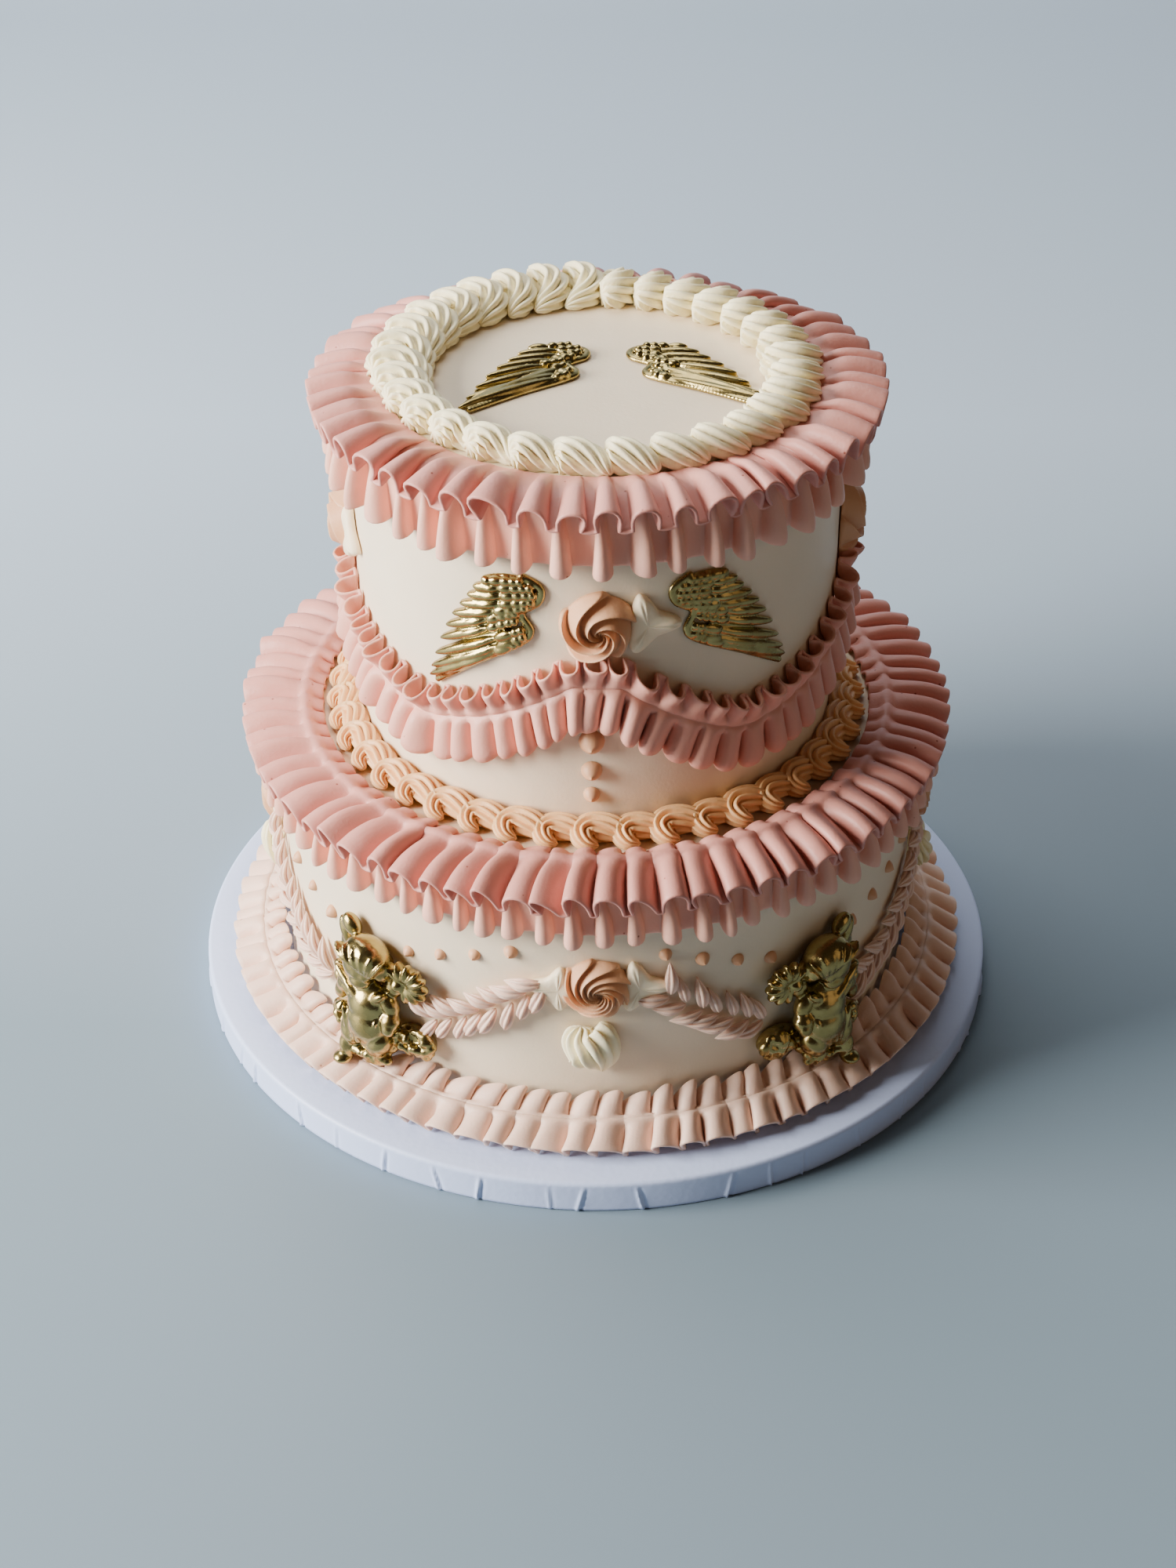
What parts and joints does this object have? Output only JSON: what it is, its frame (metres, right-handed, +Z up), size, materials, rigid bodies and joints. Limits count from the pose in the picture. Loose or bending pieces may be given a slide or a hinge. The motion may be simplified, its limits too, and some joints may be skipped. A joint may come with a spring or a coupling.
{
  "type": "tiered cake",
  "caption": "Round tiered celebration cake with piped buttercream ruffles, shell rings, rosettes and festoons, gold wings and cherubs, on its round board",
  "frame": {"origin": "centre of the board's underside, on the surface the cake stands on", "axes": "+Z up along the cake's axis, -Y to the cake's front, where the wings flank a rosette, +X to the viewer's right"},
  "size_m": [0.3048, 0.3048, 0.259],
  "materials": {
    "board_paper": "matt embossed paper wrap, pale lilac white",
    "tier_icing": "smooth satin buttercream, pale peach cream",
    "dark_pink_icing": "satin piped buttercream, dusty pink",
    "light_pink_icing": "satin piped buttercream, light pink",
    "border_pink_icing": "satin piped buttercream, palest pink",
    "peach_icing": "satin piped buttercream, peach",
    "rosette_icing": "satin piped buttercream, deep peach",
    "cream_icing": "satin piped buttercream, cream",
    "gold": "glossy antique gold lustre on cast fondant"
  },
  "bodies": {
    "root": {"base_border": "border_pink_icing", "board": "board_paper", "braid_left_back": "border_pink_icing", "braid_left_front": "border_pink_icing", "braid_left_left": "border_pink_icing", "braid_left_right": "border_pink_icing", "braid_right_back": "border_pink_icing", "braid_right_front": "border_pink_icing", "braid_right_left": "border_pink_icing", "braid_right_right": "border_pink_icing", "cherub_back_left": "gold", "cherub_back_right": "gold", "cherub_front_left": "gold", "cherub_front_right": "gold", "front_dot_1": "rosette_icing", "front_dot_2": "rosette_icing", "front_dot_3": "rosette_icing", "lower_dark_ruffle": "dark_pink_icing", "lower_drop_back": "cream_icing", "lower_drop_front": "cream_icing", "lower_drop_left": "cream_icing", "lower_drop_right": "cream_icing", "lower_leaf_left_back": "cream_icing", "lower_leaf_left_front": "cream_icing", "lower_leaf_left_left": "cream_icing", "lower_leaf_left_right": "cream_icing", "lower_leaf_right_back": "cream_icing", "lower_leaf_right_front": "cream_icing", "lower_leaf_right_left": "cream_icing", "lower_leaf_right_right": "cream_icing", "lower_light_ruffle": "light_pink_icing", "lower_rosette_back": "rosette_icing", "lower_rosette_front": "rosette_icing", "lower_rosette_left": "rosette_icing", "lower_rosette_right": "rosette_icing", "lower_shell_ring": "peach_icing", "lower_tier": "tier_icing", "swag_back_left": "light_pink_icing", "swag_back_right": "light_pink_icing", "swag_front_left": "light_pink_icing", "swag_front_right": "light_pink_icing", "top_shell_ring": "cream_icing", "top_wing_left": "gold", "top_wing_right": "gold", "upper_dark_ruffle": "dark_pink_icing", "upper_leaf_back": "cream_icing", "upper_leaf_front": "cream_icing", "upper_leaf_left": "cream_icing", "upper_leaf_right": "cream_icing", "upper_light_ruffle": "light_pink_icing", "upper_rosette_back": "rosette_icing", "upper_rosette_front": "rosette_icing", "upper_rosette_left": "rosette_icing", "upper_rosette_right": "rosette_icing", "upper_tier": "tier_icing", "wall_wing_left": "gold", "wall_wing_right": "gold"}
  },
  "joints": []
}
